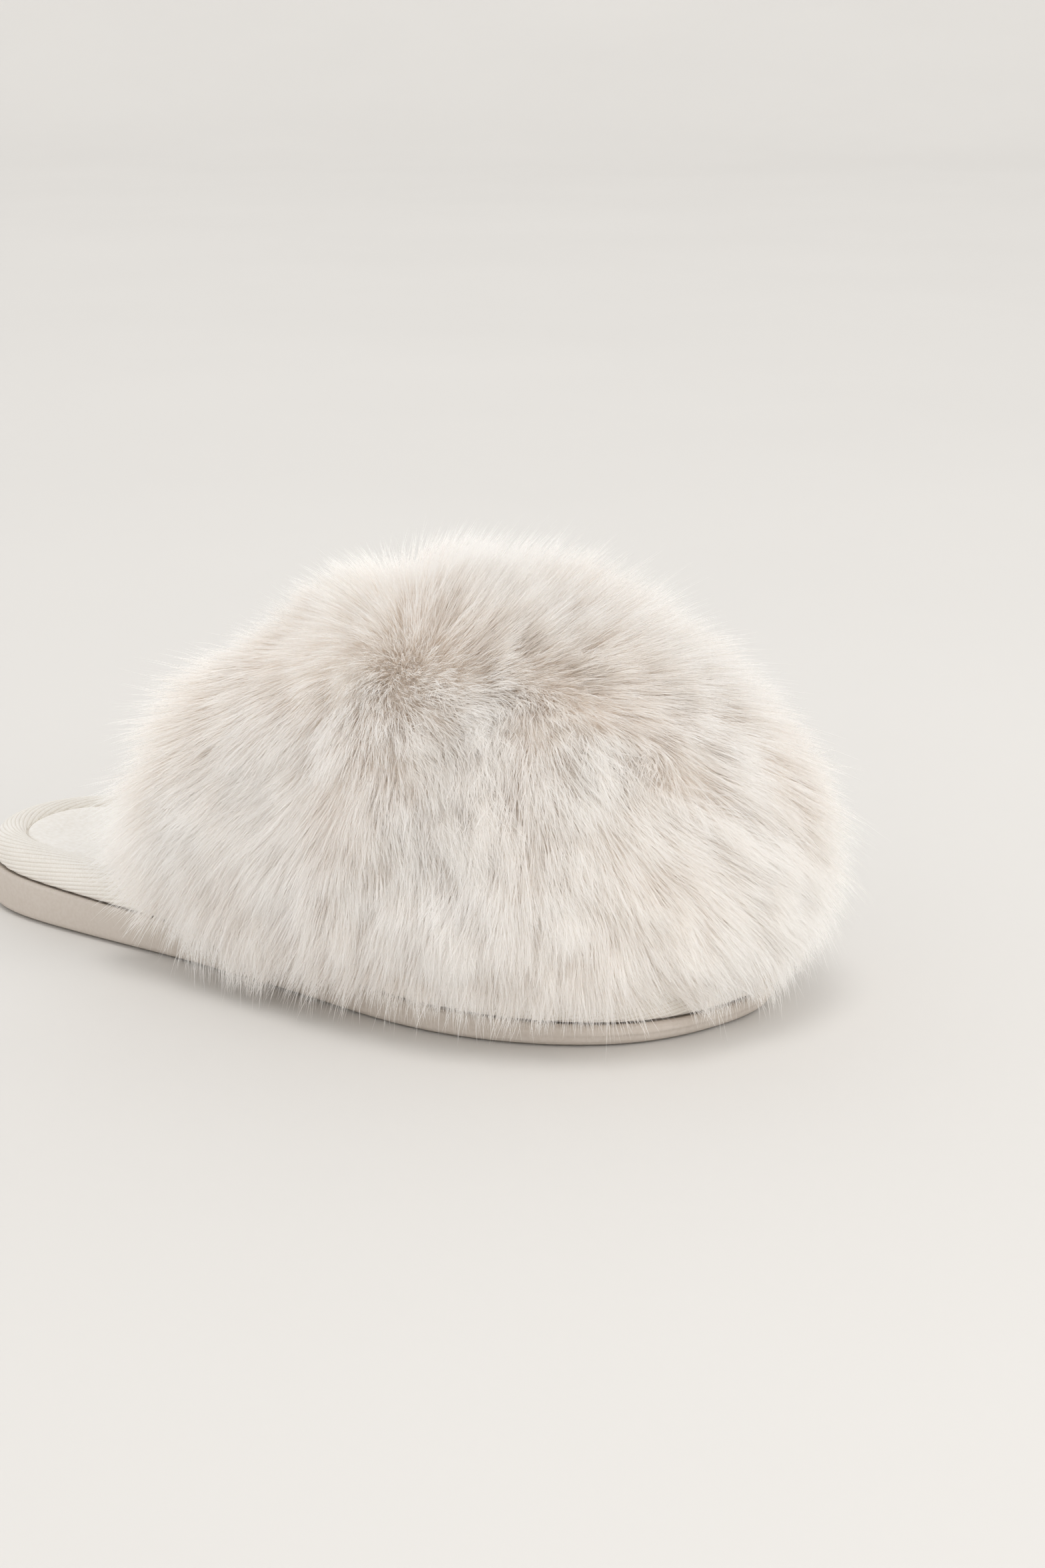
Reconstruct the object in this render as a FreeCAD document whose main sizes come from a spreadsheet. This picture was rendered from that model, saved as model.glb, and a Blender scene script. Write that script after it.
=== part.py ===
import FreeCAD, Part
import math
import os

# A backless house slipper for the right foot: a moulded outsole, a ribbed fabric platform with a
# padded rim and a plush footbed, and a closed-toe upper of long-pile faux fur.
# Frame: millimetres, +Z up, toe towards -Y, heel towards +Y, the foot's outer side towards -X.
# The outsole stands on z = 0.  Everything above it is built flat on the deck, which is the
# outsole's top face, and is tilted with the deck by its placement.

doc = FreeCAD.newDocument("house_slipper")

SIZES = [
    ("sole_length", 268.0, "outsole, heel to toe"),
    ("sole_width", 100.0, "outsole across the ball of the foot"),
    ("heel_height", 14.0, "outsole thickness at the back of the heel"),
    ("toe_height", 5.5, "outsole thickness at the toe"),
    ("bottom_round", 3.0, "radius of the outsole's bottom edge"),
    ("top_round", 0.8, "radius of the outsole's top edge"),
    ("groove_width", 2.4, "tread groove"),
    ("groove_depth", 1.5, "tread groove"),
    ("groove_length", 54.0, "tread groove"),
    ("groove_pitch", 9.5, "distance between tread grooves"),
    ("wrap_inset", 2.4, "platform fabric behind the outsole's edge"),
    ("wrap_thick", 1.0, "platform fabric"),
    ("turn_under", 12.0, "margin of the platform fabric glued under the board"),
    ("board_thick", 1.4, "insole board"),
    ("rim_height", 5.6, "padded rim above the board"),
    ("rim_width", 8.0, "padded rim round the heel"),
    ("rim_front", 3.4, "padded rim under the upper"),
    ("upper_start", 0.52, "share of the length from the heel where the rim gets narrow"),
    ("foam_thick", 3.6, "memory foam footbed"),
    ("sock_thick", 1.8, "plush sock lining"),
    ("glue_line", 0.1, "gap between neighbouring layers"),
    ("seam_gap", 0.9, "room for the thread between wrap and upper"),
    ("upper_inset", 2.0, "knit backing behind the outsole's edge"),
    ("upper_height", 97.0, "top of the knit backing above the deck"),
    ("backing_thick", 1.0, "knit backing of the fur"),
    ("interlining_thick", 2.0, "foam interlining"),
    ("lining_thick", 2.4, "fleece lining"),
    ("binding_thick", 0.8, "folded binding on the topline"),
    ("binding_width", 9.0, "depth of the binding's fold"),
    ("pile_reach", 18.0, "fur tips beyond the outsole's edge"),
    ("pile_height", 119.0, "fur tips above the deck"),
    ("pile_drop", 3.0, "fur tips below the deck"),
    ("thread", 0.7, "sewing thread diameter"),
    ("stitch_pitch", 4.2, "distance between stitches"),
    ("stitch_length", 3.0, "visible length of one stitch"),
    ("centre_x", 0.0, "places the assembly's box over the origin"),
    ("centre_y", 0.0, "places the assembly's box over the origin"),
]

sheet = doc.addObject("Spreadsheet::Sheet", "sizes")
for row, (alias, value, meaning) in enumerate(SIZES, start=1):
    sheet.set(f"A{row}", meaning)
    sheet.set(f"B{row}", str(value))
    sheet.setAlias(f"B{row}", alias)
doc.recompute()


def size(alias):
    return float(sheet.get(alias))


# ---- outline of the sole ---------------------------------------------------------------------

# Points round the sole, seen from above: sideways as a share of the width (negative on the outer
# side), and distance from the heel as a share of the length.
OUTLINE = [
    (0.000, 0.000), (-0.270, 0.045), (-0.370, 0.168), (-0.400, 0.373), (-0.460, 0.578),
    (-0.495, 0.701), (-0.430, 0.832), (-0.240, 0.940), (0.000, 0.989), (0.200, 1.000),
    (0.380, 0.967), (0.480, 0.881), (0.505, 0.765), (0.445, 0.616), (0.340, 0.466),
    (0.330, 0.299), (0.360, 0.149), (0.270, 0.045),
]
HEEL_Y = size("sole_length") / 2
INSTEP = FreeCAD.Vector(0, -20, 0)


def closed_curve(points):
    curve = Part.BSplineCurve()
    curve.interpolate(points, PeriodicFlag=True)
    return curve


def sole_outline(grow, height=0.0, share=1.0):
    """The sole's outline grown outwards, then drawn in towards the instep, at a height."""
    master = closed_curve([
        FreeCAD.Vector(across * size("sole_width"), HEEL_Y - along * size("sole_length"), 0)
        for across, along in OUTLINE
    ])
    points = []
    for knot in master.getKnots()[:-1]:
        along = master.tangent(knot)[0]
        outwards = FreeCAD.Vector(along.y, -along.x, 0)
        point = INSTEP + (master.value(knot) + outwards * grow - INSTEP) * share
        points.append(FreeCAD.Vector(point.x, point.y, height))
    return closed_curve(points)


def prism(name, grow, thickness, bottom):
    """An extrusion of the sole's outline; thickness is an expression on the sheet."""
    sketch = doc.addObject("Sketcher::SketchObject", name + "_outline")
    sketch.addGeometry(sole_outline(grow), False)
    sketch.Placement.Base.z = bottom
    solid = doc.addObject("Part::Extrusion", name)
    solid.Base = sketch
    solid.DirMode = "Custom"
    solid.Dir = FreeCAD.Vector(0, 0, 1)
    solid.Solid = True
    solid.setExpression("LengthFwd", thickness)
    return solid


def cut(name, base, tool):
    result = doc.addObject("Part::Cut", name)
    result.Base = base
    result.Tool = tool
    return result


def common(name, *shapes):
    result = doc.addObject("Part::MultiCommon", name)
    result.Shapes = list(shapes)
    return result


def fuse(name, *shapes):
    result = doc.addObject("Part::MultiFuse", name)
    result.Shapes = list(shapes)
    return result


def box(name, low, high):
    result = doc.addObject("Part::Box", name)
    result.Length, result.Width, result.Height = (b - a for a, b in zip(low, high))
    result.Placement.Base = FreeCAD.Vector(*low)
    return result


SUB_PARTS = []


def sub_part(label, thing, on_deck=True):
    """Names a finished sub-part and places it: over the origin, and tilted if on the deck."""
    thing.Label = label
    thing.Placement = FreeCAD.Placement(
        FreeCAD.Vector(), FreeCAD.Rotation(FreeCAD.Vector(1, 0, 0), 1.0)
    )
    thing.setExpression("Placement.Base.x", "sizes.centre_x")
    thing.setExpression("Placement.Base.y", "sizes.centre_y")
    if on_deck:
        thing.setExpression("Placement.Base.z", "(sizes.heel_height + sizes.toe_height) / 2")
        slope = "atan((sizes.heel_height - sizes.toe_height) / sizes.sole_length)"
        thing.setExpression("Placement.Rotation.Angle", slope)
    else:
        thing.setExpression("Placement.Rotation.Angle", "0 deg")
    SUB_PARTS.append(thing)


# ---- outsole ---------------------------------------------------------------------------------

WIDE = size("sole_width")
LONG = size("sole_length")
TILT = math.degrees(math.atan((size("heel_height") - size("toe_height")) / size("sole_length")))
DECK_MID = (size("heel_height") + size("toe_height")) / 2


# Lengths of the sole with tread grooves, as shares of its length from the heel.
GROOVED = ((0.13, 0.36), (0.50, 0.90))


def round_edges(name, base, edge_radii):
    result = doc.addObject("Part::Fillet", name)
    result.Base = base
    result.Edges = edge_radii
    return result


def make_outsole():
    block = prism("sole_block", 0, "sizes.heel_height + sizes.wrap_thick", 0)
    above_deck = box("above_deck", (-WIDE, -LONG, 0), (WIDE, LONG, LONG))
    above_deck.Placement = FreeCAD.Placement(
        FreeCAD.Vector(0, 0, DECK_MID), FreeCAD.Rotation(FreeCAD.Vector(1, 0, 0), TILT),
        FreeCAD.Vector()
    ).multiply(above_deck.Placement)
    wedge = cut("sole_wedge", block, above_deck)
    doc.recompute()
    radii = []
    for number, edge in enumerate(wedge.Shape.Edges, start=1):
        if edge.BoundBox.ZMax < 0.01:
            radii.append((number, size("bottom_round"), size("bottom_round")))
        elif edge.BoundBox.YLength > LONG / 2:
            radii.append((number, size("top_round"), size("top_round")))
    rounded = round_edges("sole_rounded", wedge, radii)
    grooves = []
    for start, end in GROOVED:
        count = int((end - start) * LONG / size("groove_pitch"))
        for index in range(count):
            y = HEEL_Y - start * LONG - index * size("groove_pitch")
            groove = box(f"groove_{len(grooves)}", (0, y, -1), (1, y + 1, 0))
            groove.setExpression("Length", "sizes.groove_length")
            groove.setExpression("Width", "sizes.groove_width")
            groove.setExpression("Height", "sizes.groove_depth + 1")
            groove.setExpression("Placement.Base.x", "-sizes.groove_length / 2")
            grooves.append(groove)
    return cut("outsole", rounded, fuse("grooves", *grooves))


sub_part("outsole", make_outsole(), on_deck=False)

# ---- platform: wrap, filler, board, rim, foam, sock lining --------------------------------------

GAP = size("glue_line")
WRAP = size("wrap_thick")
WRAP_FACE = size("wrap_inset")
BOARD_BOTTOM = 2 * GAP + WRAP
BOARD_TOP = BOARD_BOTTOM + size("board_thick")
RIM_TOP = BOARD_TOP + GAP + size("rim_height")
WRAP_TOP = RIM_TOP + GAP + WRAP
WELL_HEEL = WRAP_FACE + WRAP + GAP + size("rim_width")
WELL_FRONT = WRAP_FACE + WRAP + GAP + size("rim_front")
WELL_STEP = HEEL_Y - size("upper_start") * LONG


def footbed_blank(name, inset, thickness, bottom):
    """A slab that fills the well inside the rim: narrower round the heel than under the upper."""
    heel_part = prism(name + "_heel", -(WELL_HEEL + inset), thickness, bottom)
    front_all = prism(name + "_front_all", -(WELL_FRONT + inset), thickness, bottom)
    front_half = box(
        name + "_front_half",
        (-WIDE, -LONG, bottom - 1), (WIDE, WELL_STEP - inset, bottom + LONG)
    )
    front_part = common(name + "_front", front_all, front_half)
    return fuse(name, heel_part, front_part)


def make_wrap():
    inside_face = WRAP_FACE + WRAP
    outside = prism("wrap_outside", -WRAP_FACE, str(WRAP_TOP - GAP), GAP)
    hollow = prism("wrap_hollow", -inside_face, str(WRAP_TOP - GAP - 2 * WRAP), GAP + WRAP)
    under = prism("wrap_under_hole", -(inside_face + size("turn_under")), str(WRAP + 2 * GAP), -GAP)
    mouth = footbed_blank("wrap_mouth", 0, "sizes.rim_height", RIM_TOP - WRAP)
    return cut("wrap", outside, fuse("wrap_space", hollow, under, mouth))


def make_rim_padding():
    ring = prism("rim_ring", -(WRAP_FACE + WRAP + GAP), "sizes.rim_height", BOARD_TOP + GAP)
    doc.recompute()
    top_edges = [
        (number, size("rim_front") / 2, size("rim_front") / 2)
        for number, edge in enumerate(ring.Shape.Edges, start=1)
        if edge.BoundBox.ZMin > BOARD_TOP + size("rim_height") - GAP
    ]
    rounded = round_edges("rim_rounded", ring, top_edges)
    well = footbed_blank("rim_well", 0, "2 * sizes.rim_height", BOARD_TOP)
    return cut("rim", rounded, well)


sub_part("platform_wrap", make_wrap())
FILLER_INSET = WRAP_FACE + WRAP + size("turn_under") + GAP
sub_part("bottom_filler", prism("filler", -FILLER_INSET, "sizes.wrap_thick", GAP))
BOARD_INSET = WRAP_FACE + WRAP + GAP
sub_part("insole_board", prism("board", -BOARD_INSET, "sizes.board_thick", BOARD_BOTTOM))
sub_part("rim_padding", make_rim_padding())
FOAM_BOTTOM = BOARD_TOP + GAP
sub_part("memory_foam", footbed_blank("foam", GAP, "sizes.foam_thick", FOAM_BOTTOM))
SOCK_BOTTOM = FOAM_BOTTOM + size("foam_thick") + GAP
SOCK_TOP = SOCK_BOTTOM + size("sock_thick")
sub_part("sock_lining", footbed_blank("sock", GAP, "sizes.sock_thick", SOCK_BOTTOM))

# ---- upper: shells between domes over the foot --------------------------------------------------

UPPER_BOTTOM = WRAP_TOP + size("seam_gap")
FULLNESS = 3.2
RISES = (0.0, 0.22, 0.42, 0.6, 0.75, 0.86, 0.94, 0.985)


def level(grow, height, share):
    return Part.Wire([sole_outline(grow, height, share).toShape()])


def dome(name, grow, top, hem=()):
    """A solid dome over the foot.  hem lists (height, share) of levels under the widest one."""
    start = hem[-1][0] if hem else UPPER_BOTTOM
    wires = [level(grow, height, share) for height, share in hem]
    for rise in RISES[1 if hem else 0:]:
        share = math.sqrt(1 - rise ** FULLNESS)
        wires.append(level(grow, start + (top - start) * rise, share))
    feature = doc.addObject("Part::Feature", name)
    feature.Shape = Part.makeLoft(wires, True)
    return feature


def profile_extrusion(name, edges, half_width):
    """Extrudes a closed side profile, given in the YZ plane, to both sides."""
    face = Part.Face(Part.Wire(edges))
    sketch = doc.addObject("Part::Feature", name + "_profile")
    sketch.Shape = face
    solid = doc.addObject("Part::Extrusion", name)
    solid.Base = sketch
    solid.DirMode = "Custom"
    solid.Dir = FreeCAD.Vector(1, 0, 0)
    solid.LengthFwd = 2 * half_width
    solid.Symmetric = True
    return solid


def in_front_of(name, low, middle, high, shift=0.0):
    """The region in front of an arc through three (y, z) points, moved back by shift."""
    points = [FreeCAD.Vector(0, y + shift, z) for y, z in (low, middle, high)]
    floor = -LONG / 4
    roof = LONG
    ahead = -LONG
    corners = [
        points[2], FreeCAD.Vector(0, points[2].y, roof), FreeCAD.Vector(0, ahead, roof),
        FreeCAD.Vector(0, ahead, floor), FreeCAD.Vector(0, points[0].y, floor), points[0],
    ]
    edges = [Part.Arc(*points).toShape()]
    edges += [Part.makeLine(a, b) for a, b in zip(corners, corners[1:])]
    return profile_extrusion(name, edges, WIDE)


# Side profiles of the opening's edge and of the fur's back end: low, middle and top (y, z) points.
TOPLINE = ((38, 4), (28, 54), (-8, 97))
PILE_END = ((49, -5), (38, 52), (-17, 118))
# The fur's lower edge curls in: (height, share of the widest outline) up to the widest level.
PILE_HEM = ((-size("pile_drop"), 0.935), (4, 0.98), (14, 1.0))
SOLE_CLEARANCE = 0.6

BACKING_FACE = -size("upper_inset")
BACKING_BACK = BACKING_FACE - size("backing_thick")
FOAM_FACE = BACKING_BACK - GAP
FOAM_BACK = FOAM_FACE - size("interlining_thick")
LINING_FACE = FOAM_BACK - GAP
LINING_BACK = LINING_FACE - size("lining_thick")


def top_of(grow):
    """Height of the dome whose side is grow from the outsole's edge: layers are of one thickness."""
    return size("upper_height") + grow - BACKING_FACE


def upper_shell(name, face, back, region):
    outer = dome(name + "_outer", face, top_of(face))
    inner = dome(name + "_inner", back, top_of(back))
    return common(name, cut(name + "_shell", outer, inner), region)


def make_binding():
    face = BACKING_FACE + GAP
    back = LINING_BACK - GAP
    thick = size("binding_thick")
    strip = common(
        "binding_strip",
        cut(
            "binding_tube", dome("binding_outer", face + thick, top_of(face + thick)),
            dome("binding_inner", back - thick, top_of(back - thick)),
        ),
        in_front_of("binding_end", *TOPLINE, shift=GAP + thick),
    )
    fold = in_front_of("binding_start", *TOPLINE, shift=-size("binding_width"))
    slot = common(
        "binding_slot",
        cut("slot_tube", dome("slot_outer", face, top_of(face)), dome("slot_inner", back, top_of(back))),
        in_front_of("slot_end", *TOPLINE, shift=GAP),
    )
    return cut("binding", cut("binding_band", strip, fold), slot)


def make_fur_pile():
    tips = dome("pile_tips", size("pile_reach"), size("pile_height"), PILE_HEM)
    region = in_front_of("pile_region", *PILE_END)
    body = common("pile_body", tips, region)
    face = BACKING_FACE + 2 * GAP + size("binding_thick")
    inside = dome("pile_inside", face, top_of(face))
    sole_room = prism(
        "pile_sole_room", SOLE_CLEARANCE, str(UPPER_BOTTOM + 2 * DECK_MID), -2 * DECK_MID
    )
    return cut("pile", cut("pile_shell", body, inside), sole_room)


UPPER_REGION = in_front_of("upper_region", *TOPLINE)
sub_part("upper_lining", upper_shell("lining", LINING_FACE, LINING_BACK, UPPER_REGION))
sub_part("upper_foam", upper_shell("interlining", FOAM_FACE, FOAM_BACK, UPPER_REGION))
sub_part("fur_backing", upper_shell("backing", BACKING_FACE, BACKING_BACK, UPPER_REGION))
sub_part("topline_binding", make_binding())
sub_part("fur_pile", make_fur_pile())

# ---- seams: each a row of separate stitches -----------------------------------------------------

doc.recompute()


def stitches(name, points):
    """Short straight stitches of thread between successive points, one solid for each."""
    radius = size("thread") / 2
    solids = []
    for start, end in zip(points, points[1:]):
        run = end - start
        if run.Length > 1.5 * size("stitch_pitch"):
            continue
        run.normalize()
        solids.append(Part.makeCylinder(radius, size("stitch_length"), start, run))
    feature = doc.addObject("Part::Feature", name)
    feature.Shape = Part.makeCompound(solids)
    return feature


def seam_points(grow, height, keep):
    """Points a stitch apart along the sole's outline, where keep says yes."""
    edge = sole_outline(grow, height).toShape()
    count = round(edge.Length / size("stitch_pitch"))
    return [point for point in edge.discretize(Number=count + 1) if keep(point)]


def topline_points(grow, setback):
    """Points a stitch apart round the opening, on the face of one dome, setback from its edge."""
    face = dome("seam_dome", grow, top_of(grow))
    blade = in_front_of("seam_blade", *TOPLINE, shift=-setback)
    doc.recompute()
    shell = max(face.Shape.Faces, key=lambda piece: piece.Area)
    wall = min(
        (piece for piece in blade.Shape.Faces if piece.BoundBox.XLength > WIDE),
        key=lambda piece: abs(piece.BoundBox.ZLength - (TOPLINE[2][1] - TOPLINE[0][1])),
    )
    points = []
    for edges in Part.sortEdges(shell.section(wall).Edges):
        wire = Part.Wire(edges)
        points += wire.discretize(Number=max(2, round(wire.Length / size("stitch_pitch"))))
    for helper in (face, blade):
        doc.removeObject(helper.Name)
    doc.removeObject("seam_blade_profile")
    return points


THREAD_AXIS = size("thread") / 2 + 0.05
ON_WRAP = WRAP_TOP + THREAD_AXIS
SOCK_SEAM_INSET = WELL_HEEL - 1.6
SOCK_SEAM_FRONT = WELL_STEP + 40
FEATHER_SEAM_INSET = WRAP_FACE + 2 * WRAP
FEATHER_SEAM_BACK = TOPLINE[0][0] - 4
TOPLINE_SETBACK = 6.0
LINING_SIDE = LINING_BACK - GAP - size("binding_thick") - THREAD_AXIS

sock_seam = seam_points(-SOCK_SEAM_INSET, ON_WRAP, lambda point: point.y > SOCK_SEAM_FRONT)
feather_seam = seam_points(-FEATHER_SEAM_INSET, ON_WRAP, lambda point: point.y < FEATHER_SEAM_BACK)
topline_seam = topline_points(LINING_SIDE, TOPLINE_SETBACK)
sub_part("sock_stitching", stitches("sock_thread", sock_seam))
sub_part("feather_seam_thread", stitches("feather_thread", feather_seam))
sub_part("topline_stitching", stitches("topline_thread", topline_seam))

# ---- place, check and write --------------------------------------------------------------------


def assembly_box():
    total = FreeCAD.BoundBox()
    for piece in SUB_PARTS:
        total.add(piece.Shape.optimalBoundingBox(False))
    return total


def faults():
    found = [
        f"{thing.Name}: {thing.State}" for thing in doc.Objects
        if "Invalid" in thing.State or "Error" in thing.State
    ]
    for piece in SUB_PARTS:
        if piece.Shape.isNull() or not piece.Shape.isValid():
            found.append(f"{piece.Label}: shape is null or not valid")
    return found


def stop_on_faults():
    if faults():
        raise RuntimeError("; ".join(faults()))


doc.recompute()
stop_on_faults()
bounds = assembly_box()
sheet.set("centre_x", str(round(-bounds.Center.x, 3)))
sheet.set("centre_y", str(round(-bounds.Center.y, 3)))
doc.recompute()
stop_on_faults()

os.makedirs("parts", exist_ok=True)
for piece in SUB_PARTS:
    piece.Shape.exportStep(f"parts/{piece.Label}.step")
    solids = len(piece.Shape.Solids)
    print(f"{piece.Label}: {solids} solid(s), {piece.Shape.Volume / 1000:.2f} cm3")
final = assembly_box()
print(f"box {final.XLength:.1f} x {final.YLength:.1f} x {final.ZLength:.1f}, "
      f"from {final.XMin:.2f} {final.YMin:.2f} {final.ZMin:.2f}")
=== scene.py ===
"""Looks of a backless fluffy house slipper for the right foot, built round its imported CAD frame."""
import math
import bpy
import numpy as np
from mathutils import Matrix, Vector
from mathutils.kdtree import KDTree


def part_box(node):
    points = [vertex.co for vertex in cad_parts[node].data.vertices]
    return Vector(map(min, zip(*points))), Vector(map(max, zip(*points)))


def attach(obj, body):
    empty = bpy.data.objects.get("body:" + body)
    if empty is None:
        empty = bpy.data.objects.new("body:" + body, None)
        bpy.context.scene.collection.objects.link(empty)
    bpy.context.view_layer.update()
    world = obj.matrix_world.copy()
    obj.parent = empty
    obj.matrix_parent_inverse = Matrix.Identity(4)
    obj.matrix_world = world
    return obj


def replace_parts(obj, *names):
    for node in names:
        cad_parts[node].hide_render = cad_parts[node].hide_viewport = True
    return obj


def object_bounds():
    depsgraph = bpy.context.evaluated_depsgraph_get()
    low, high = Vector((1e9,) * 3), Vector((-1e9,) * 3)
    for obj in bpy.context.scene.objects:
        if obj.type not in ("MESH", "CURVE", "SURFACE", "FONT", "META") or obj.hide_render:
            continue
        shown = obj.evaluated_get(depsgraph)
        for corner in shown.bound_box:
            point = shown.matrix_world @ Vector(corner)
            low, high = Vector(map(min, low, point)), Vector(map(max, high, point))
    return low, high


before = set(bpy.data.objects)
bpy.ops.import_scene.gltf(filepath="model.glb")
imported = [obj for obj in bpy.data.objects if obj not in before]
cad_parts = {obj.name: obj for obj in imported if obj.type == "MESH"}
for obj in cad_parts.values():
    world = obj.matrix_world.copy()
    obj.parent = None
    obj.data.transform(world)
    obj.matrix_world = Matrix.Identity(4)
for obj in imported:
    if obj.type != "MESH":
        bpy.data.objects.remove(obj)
CAD_BOX = [list(corner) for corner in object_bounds()]
MM = 0.001

# ---- sizes, in millimetres, on the CAD frame ---------------------------------------------------

SOLE_LOW, SOLE_HIGH = (np.array(corner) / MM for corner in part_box("outsole"))
LENGTH = 268.0
WIDTH = 100.0
HEEL_HEIGHT = 14.0
TOE_HEIGHT = 5.5
DECK_MID = (HEEL_HEIGHT + TOE_HEIGHT) / 2
TILT = math.atan((HEEL_HEIGHT - TOE_HEIGHT) / LENGTH)
HEEL_Y = LENGTH / 2

# The sole's outline as in the CAD: sideways as a share of the width, negative on the outer side,
# and distance from the heel as a share of the length.
OUTLINE = [
    (0.000, 0.000), (-0.270, 0.045), (-0.370, 0.168), (-0.400, 0.373), (-0.460, 0.578),
    (-0.495, 0.701), (-0.430, 0.832), (-0.240, 0.940), (0.000, 0.989), (0.200, 1.000),
    (0.380, 0.967), (0.480, 0.881), (0.505, 0.765), (0.445, 0.616), (0.340, 0.466),
    (0.330, 0.299), (0.360, 0.149), (0.270, 0.045),
]
INSTEP = np.array([0.0, -20.0])
UPPER_BOTTOM = 10.3
BACKING_GROW = -2.0
BACKING_TOP = 97.0
FULLNESS = 3.2
TOPLINE = ((38.0, 4.0), (28.0, 54.0), (-8.0, 97.0))


# ---- shape helpers ------------------------------------------------------------------------------

def smooth(edge0, edge1, value):
    share = np.clip((value - edge0) / (edge1 - edge0), 0, 1)
    return share * share * (3 - 2 * share)


def unit(vectors):
    return vectors / np.maximum(np.linalg.norm(vectors, axis=-1, keepdims=True), 1e-9)


def closed_spline(points):
    """Dense points of a smooth closed curve through the given ones: a periodic cubic spline."""
    knots = np.vstack([points, points[:1]])
    spans = np.linalg.norm(np.diff(knots, axis=0), axis=1)
    count = len(points)
    matrix = np.zeros((count, count))
    right = np.zeros((count, 2))
    for i in range(count):
        before, after = spans[i - 1], spans[i]
        matrix[i, i - 1] += before
        matrix[i, i] += 2 * (before + after)
        matrix[i, (i + 1) % count] += after
        right[i] = 6 * ((knots[i + 1] - knots[i]) / after - (knots[i] - points[i - 1]) / before)
    bend = np.linalg.solve(matrix, right)
    bend = np.vstack([bend, bend[:1]])
    dense = []
    for i in range(count):
        share = np.linspace(0, 1, 160, endpoint=False)[:, None]
        span = spans[i]
        ease = ((1 - share) ** 3 - (1 - share)) * bend[i] + (share ** 3 - share) * bend[i + 1]
        dense.append((1 - share) * knots[i] + share * knots[i + 1] + ease * span * span / 6)
    return np.vstack(dense)


DENSE = closed_spline(np.array([(a * WIDTH, HEEL_Y - b * LENGTH) for a, b in OUTLINE]))
CENTRE = ((SOLE_LOW + SOLE_HIGH)[:2] - DENSE.min(0) - DENSE.max(0)) / 2
STEPS = np.linalg.norm(np.roll(DENSE, -1, axis=0) - DENSE, axis=1)
ROUND = STEPS.sum()
ALONG = np.concatenate([[0], np.cumsum(STEPS)]) / ROUND


def outline(shares, grow=0.0):
    """Points on the sole's outline at shares of its length round from the heel, grown outwards."""
    loop = np.vstack([DENSE, DENSE[:1]])

    def at(share):
        wrapped = np.mod(share, 1)
        return np.stack([np.interp(wrapped, ALONG, loop[:, axis]) for axis in (0, 1)], -1)

    shares = np.mod(shares, 1.0)
    along = unit(at(shares + 0.002) - at(shares - 0.002))
    outwards = np.stack([along[..., 1], -along[..., 0]], -1)
    return at(shares) + outwards * np.asarray(grow)[..., None]


def on_deck(x, y, z):
    """Millimetres on the tilted deck to metres in the frame."""
    sin, cos = math.sin(TILT), math.cos(TILT)
    placed = np.stack([
        x + CENTRE[0], y * cos - z * sin + CENTRE[1], y * sin + z * cos + DECK_MID
    ], -1)
    return placed * MM


def circle_centre(first, second, third):
    """The centre of the circle through three points."""
    (y1, z1), (y2, z2), (y3, z3) = first, second, third
    s1, s2, s3 = (y ** 2 + z ** 2 for y, z in (first, second, third))
    a = y1 * (z2 - z3) - z1 * (y2 - y3) + y2 * z3 - y3 * z2
    b = s1 * (z3 - z2) + s2 * (z1 - z3) + s3 * (z2 - z1)
    c = s1 * (y2 - y3) + s2 * (y3 - y1) + s3 * (y1 - y2)
    return -b / (2 * a), -c / (2 * a)


def topline_y(z, shift=0.0):
    """How far back the upper reaches at a height on the deck: an arc through TOPLINE."""
    centre_y, centre_z = circle_centre(*TOPLINE)
    radius = math.hypot(TOPLINE[0][0] - centre_y, TOPLINE[0][1] - centre_z)
    lift = np.clip(z - centre_z, -radius, radius)
    return centre_y + np.sqrt(np.maximum(radius ** 2 - lift ** 2, 0)) + shift


def dome_point(shares, rise, grow, top, bottom=UPPER_BOTTOM):
    """Deck millimetres on a dome over the foot; rise is 0 at the hem and 1 at the crown."""
    pull = np.sqrt(np.maximum(1 - np.asarray(rise) ** FULLNESS, 0))
    flat = INSTEP + (outline(shares, grow) - INSTEP) * pull[..., None]
    height = bottom + (top - bottom) * np.asarray(rise)
    return np.concatenate([flat, (height + 0 * flat[..., 0])[..., None]], -1)


def noise(points, scale, seed):
    """Smooth noise between about -1 and 1 at points in millimetres: a few crossing waves."""
    rng = np.random.default_rng(seed)
    total = np.zeros(points.shape[:-1])
    for _ in range(7):
        wave = rng.normal(size=3)
        wave *= (0.7 + 0.6 * rng.random()) / np.linalg.norm(wave)
        total += np.sin(points @ wave * 2 * math.pi / scale + rng.random() * 2 * math.pi)
    return total / 3.0


# ---- mesh helpers -------------------------------------------------------------------------------

def make_object(name, verts, faces, material, shade_smooth=True):
    mesh = bpy.data.meshes.new(name)
    mesh.from_pydata([tuple(v) for v in verts], [], faces)
    mesh.update()
    mesh.polygons.foreach_set("use_smooth", [shade_smooth] * len(mesh.polygons))
    piece = bpy.data.objects.new(name, mesh)
    bpy.context.scene.collection.objects.link(piece)
    mesh.materials.append(material)
    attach(piece, "root")
    return piece


def grid_faces(rows, columns, wrap):
    """Quads of a grid of points stored row by row; wrap joins the last column to the first."""
    faces = []
    for row in range(rows - 1):
        for column in range(columns if wrap else columns - 1):
            after = (column + 1) % columns
            low, high = row * columns, (row + 1) * columns
            faces.append((low + column, low + after, high + after, high + column))
    return faces


def thicken(piece, millimetres, offset):
    shell = piece.modifiers.new("thickness", "SOLIDIFY")
    shell.thickness = millimetres * MM
    shell.offset = offset


# ---- materials ----------------------------------------------------------------------------------

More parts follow.
